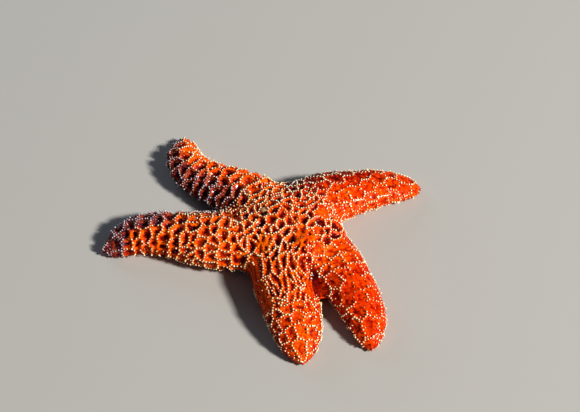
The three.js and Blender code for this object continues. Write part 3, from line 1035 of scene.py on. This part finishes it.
def put(tree, value, socket):
    """Sets a socket to a number or a colour, or leads another one to it."""
    if isinstance(value, (int, float)):
        socket.default_value = value
    elif isinstance(value, tuple):
        socket.default_value = (*value, 1)
    else:
        tree.links.new(value, socket)


def mark(tree, name):
    """A number kept on the mesh."""
    node = tree.nodes.new("ShaderNodeAttribute")
    node.attribute_name = name
    return node.outputs["Fac"]


def ramp(tree, value, *stops):
    """A colour for each value, from stops of a value and its colour."""
    node = tree.nodes.new("ShaderNodeValToRGB")
    stop = node.color_ramp.elements
    for end in (0, -1):
        stop[end].position = stops[end][0]
        stop[end].color = (*stops[end][1], 1)
    for place, colour in stops[1:-1]:
        stop.new(place).color = (*colour, 1)
    tree.links.new(value, node.inputs["Fac"])
    return node.outputs["Color"]


def greys(tree, value, *stops):
    """The same for shades of grey, from stops of a value and its shade."""
    return ramp(tree, value, *((place, (shade,) * 3) for place, shade in stops))


def maths(tree, kind, first, second):
    node = tree.nodes.new("ShaderNodeMath")
    node.operation = kind
    put(tree, first, node.inputs[0])
    put(tree, second, node.inputs[1])
    return node.outputs["Value"]


def times(tree, first, second):
    return maths(tree, "MULTIPLY", first, second)


def swung(tree, middle, value, by, about=0.5):
    """A middle value, with another one's swing about its own middle added."""
    return maths(tree, "ADD", middle, times(tree, maths(tree, "SUBTRACT", value, about), by))


def blended(tree, share, first, second, kind="MIX"):
    """One colour giving way to the other as the share goes from 0 to 1."""
    node = tree.nodes.new("ShaderNodeMix")
    node.data_type = "RGBA"
    node.blend_type = kind
    for index, value in ((0, share), (6, first), (7, second)):
        put(tree, value, node.inputs[index])
    return node.outputs[2]


def texture(tree, kind, size):
    """A texture on the piece's own coordinates, with features about this many millimetres across."""
    node = tree.nodes.new(kind)
    node.inputs["Scale"].default_value = 1 / (size * MM)
    place = tree.nodes.new("ShaderNodeTexCoord").outputs["Object"]
    tree.links.new(place, node.inputs["Vector"])
    return node


def grain(tree, size, detail=2.0):
    """Noise of this size."""
    node = texture(tree, "ShaderNodeTexNoise", size)
    node.inputs["Detail"].default_value = detail
    return node.outputs["Fac"]


def cobbles(tree):
    """The small round swellings of smooth flesh: 0 at the middle of each, rising to its edge."""
    return times(tree, texture(tree, "ShaderNodeTexVoronoi", COBBLE).outputs["Distance"], 0.75)


# What a material is like: its colour and roughness, the weight of the film of water on it, its fine relief
# and how deep that is, how much light it lets in and how far, and how much it shines without the water.
Look = namedtuple(
    "Look", "colour roughness film height relief glow reach shine", defaults=(None, 0, 0, 0, 0.03),
)


def new_material(name, look):
    """A material of the look that a function makes from nodes. The water on it gives small sharp glints,
    with no haze over the colour."""
    material = bpy.data.materials.new(name)
    material.use_nodes = True
    tree = material.node_tree
    tree.nodes.clear()
    output = tree.nodes.new("ShaderNodeOutputMaterial")
    shader = tree.nodes.new("ShaderNodeBsdfPrincipled")
    tree.links.new(shader.outputs["BSDF"], output.inputs["Surface"])
    made = look(tree)
    put(tree, made.colour, shader.inputs["Base Color"])
    put(tree, made.roughness, shader.inputs["Roughness"])
    shader.inputs["Specular IOR Level"].default_value = made.shine
    shader.inputs["Coat Weight"].default_value = made.film
    shader.inputs["Coat Roughness"].default_value = 0.12
    if made.glow:
        shader.inputs["Subsurface Weight"].default_value = made.glow
        shader.inputs["Subsurface Scale"].default_value = made.reach * MM
    if made.height:
        bump = tree.nodes.new("ShaderNodeBump")
        bump.inputs["Distance"].default_value = made.relief * MM
        tree.links.new(made.height, bump.inputs["Height"])
        tree.links.new(bump.outputs["Normal"], shader.inputs["Normal"])
    return material


# The flesh's colours as its tone goes from bright to dark, where it is yellowest and where it is reddest.
# The dark end is partly painted shade in the pits and folds.
YELLOW_FLESH = [
    (0, (0.93, 0.19, 0.002)), (0.25, (0.8, 0.078, 0.001)),
    (0.55, (0.39, 0.017, 0.001)), (0.95, (0.11, 0.002, 0.002)),
]
RED_FLESH = [
    (0, (0.8, 0.05, 0.001)), (0.25, (0.6, 0.02, 0.001)),
    (0.55, (0.25, 0.004, 0.001)), (0.95, (0.08, 0.001, 0.003)),
]
PALE_FLESH = [(0.35, (0.62, 0.3, 0.1)), (0.65, (0.5, 0.16, 0.05))]  # the underside's
COBBLE = 2.7  # about how far apart the swellings of smooth flesh are
# The purple-grey of bloom and painted shade, on the flesh and on the spines' white.
BLOOM_AND_SHADE = (0.05, 0.022, 0.045)  # the purple-grey that shades the flanks
BLOOM_AND_SHADE_ON_WHITE = (0.58, 0.54, 0.64)
PORE = (0.26, 0.03, 0.004)
WHITES = [(0, (0.9, 0.64, 0.28)), (0.3, (0.97, 0.89, 0.54)), (1, (0.98, 0.98, 0.78))]
STALKS = [(0, (0.55, 0.25, 0.06)), (0.6, (0.75, 0.48, 0.18)), (0.85, (0.9, 0.8, 0.55))]
BEIGES = [(0.1, (0.97, 0.76, 0.5)), (0.5, (0.85, 0.51, 0.27)), (0.85, (0.45, 0.18, 0.05))]
LIPS = [(0.3, (0.62, 0.34, 0.14)), (0.7, (0.45, 0.15, 0.06))]
DEEP_REDS = [(0.35, (0.3, 0.004, 0.006)), (0.65, (0.6, 0.02, 0.008))]


def flesh_colour(tree):
    """The colour of the flesh from its marks and a fine mottle, for the skin and the coat alike."""
    smooth = mark(tree, "smooth")
    mottle = maths(tree, "SUBTRACT", 0.75, times(tree, smooth, 0.4))
    tone = swung(tree, mark(tree, "tone"), grain(tree, 1.3, 3.0), mottle)
    tone = swung(tree, tone, cobbles(tree), times(tree, smooth, 1.3), 0.4)
    red = swung(tree, mark(tree, "red"), grain(tree, 4), 0.5)
    flesh = blended(tree, red, ramp(tree, tone, *YELLOW_FLESH), ramp(tree, tone, *RED_FLESH))
    # The purple-grey of bloom and painted shade, over the flanks away from the light and the disk's dark
    # hollows.
    bloom_and_shade = times(tree, mark(tree, "bloom_and_shade"), times(tree, grain(tree, 2.5), 1.35))
    shaded = blended(tree, bloom_and_shade, flesh, BLOOM_AND_SHADE)
    return blended(tree, mark(tree, "under"), shaded, ramp(tree, grain(tree, 3.5), *PALE_FLESH))


def skin_look(tree):
    """Wet flesh, smoothest on the bright ridges."""
    rougher = greys(tree, mark(tree, "tone"), (0, 0.24), (1, 0.45))
    return Look(flesh_colour(tree), rougher, 0.2, grain(tree, 0.9, 4.0), 0.35)


def spine_look(tree):
    """Flesh at the foot, and chalky white above it, whiter on some than on others."""
    white = ramp(tree, mark(tree, "pale"), *WHITES)
    # Painted shade: the white turns lavender-grey where the flesh has its bloom and painted shade.
    white = blended(tree, mark(tree, "bloom_and_shade"), white, BLOOM_AND_SHADE_ON_WHITE)
    above_foot = greys(tree, mark(tree, "tip"), (0.28, 0), (0.5, 1))
    colour = blended(tree, above_foot, flesh_colour(tree), white)
    return Look(colour, 0.5, 0.3, grain(tree, 0.4), 0.08)


def gill_look(tree):
    """Thin soft flesh: a little paler to the tip in the dark cells, and dark as pores on bright flesh."""
    share = times(tree, times(tree, mark(tree, "tip"), mark(tree, "pale")), 0.5)
    in_dark = blended(tree, share, flesh_colour(tree), (0.55, 0.15, 0.04))
    bright = greys(tree, mark(tree, "tone"), (0.12, 1), (0.4, 0))
    return Look(blended(tree, bright, in_dark, PORE), 0.5, 0.45)


def foot_look(tree):
    """Tube feet: clear pale yellow stalks, with whiter suckers."""
    stalk = ramp(tree, mark(tree, "tip"), *STALKS)
    spots = greys(tree, grain(tree, 0.7), (0.4, 0.82), (0.7, 1))
    return Look(blended(tree, 1.0, stalk, spots, "MULTIPLY"), 0.3, 0.5, grain(tree, 0.5), 0.08, 0.1, 0.5)


def plate_look(tree):
    """The sieve plate: chalky beige, browner down in its furrows."""
    deep = swung(tree, 0.45, mark(tree, "furrow"), 0.35, 0.0)
    deep = swung(tree, deep, grain(tree, 0.6, 3.0), 0.9)
    return Look(ramp(tree, deep, *BEIGES), 0.6, 0.25, grain(tree, 0.35, 3.0), 0.08)


def mouth_look(tree):
    """The mouth's lips: soft yellow-brown membrane with redder clouds."""
    colour = ramp(tree, grain(tree, 1.2, 3.0), *LIPS)
    return Look(colour, 0.35, 0.6, grain(tree, 0.6, 3.0), 0.12, 0.15, 0.8)


def eyespot_look(tree):
    """The eyespots: deep red cushions of fine dark grains."""
    colour = ramp(tree, grain(tree, 0.3, 2.0), *DEEP_REDS)
    return Look(colour, 0.4, 0.5, grain(tree, 0.25), 0.06)


def wear(material, *pieces):
    """Gives the pieces this material alone."""
    for piece in pieces:
        piece.data.materials.clear()
        piece.data.materials.append(material)


wear(new_material("star skin", skin_look), body)
wear(new_material("spines", spine_look), *spines)
wear(new_material("gills", gill_look), *soft_gills)
wear(new_material("tube feet", foot_look), feet)
wear(new_material("sieve plate", plate_look), plate)
wear(new_material("mouth membrane", mouth_look), lips)
eyespots = new_material("eyespots", eyespot_look)
for name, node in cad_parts.items():
    if name.startswith("eyespot"):
        node.material_slots[0].link = "OBJECT"
        node.material_slots[0].material = eyespots

# ---------------- floor, light and camera

# The sizes from here on are in metres.
FLOOR_WIDTH = 6
KEY = ((3.9, -1.8, 3.0), 0.7, 370, (1, 0.95, 0.87))  # the sun's side: place, width, watts and colour
FILL = ((-1.0, 1.3, 0.5), 1.0, 6, (0.75, 0.85, 1))
AIM = Vector((0.01739, 0.03707, 0))  # the point that the camera looks at
DISTANCE = 1.015
SLOPE = math.radians(50)
LENS = 90


def floor_look(_):
    """Dull and pale."""
    return Look((0.5, 0.5, 0.49), 1, 0, shine=0)


def make_floor():
    bpy.ops.mesh.primitive_plane_add(size=FLOOR_WIDTH, location=(0, 0, 0))
    floor = bpy.context.object
    floor.name = "floor"
    wear(new_material("pale floor", floor_look), floor)


def turned(place, aim):
    """How a lamp or camera is turned at a place to look at a point."""
    return (aim - place).to_track_quat("-Z", "Y").to_euler()


def area_light(name, place, width, power, colour):
    """A round lamp that shines on the star."""
    data = bpy.data.lights.new(name, "AREA")
    data.shape = "DISK"
    data.size = width
    data.energy = power
    data.color = colour
    lamp = add(name, data)
    lamp.location = place
    lamp.rotation_euler = turned(Vector(place), Vector((0, 0, 0)))


def make_lights():
    area_light("key", *KEY)
    area_light("fill", *FILL)
    world = bpy.data.worlds.new("studio")
    world.use_nodes = True
    backdrop = world.node_tree.nodes["Background"]
    backdrop.inputs["Color"].default_value = (0.8, 0.88, 1, 1)
    backdrop.inputs["Strength"].default_value = 0.08
    bpy.context.scene.world = world


def make_camera():
    """Looks down on the star from the front, through a long lens."""
    data = bpy.data.cameras.new("camera")
    data.lens = LENS
    data.sensor_width = 36
    camera = add("camera", data)
    camera.location = AIM + DISTANCE * Vector((0, -math.cos(SLOPE), math.sin(SLOPE)))
    camera.rotation_euler = turned(camera.location, AIM)
    scene = bpy.context.scene
    scene.camera = camera
    scene.view_settings.view_transform = "Standard"
    scene.view_settings.look = "Medium High Contrast"


make_floor()
make_lights()
make_camera()
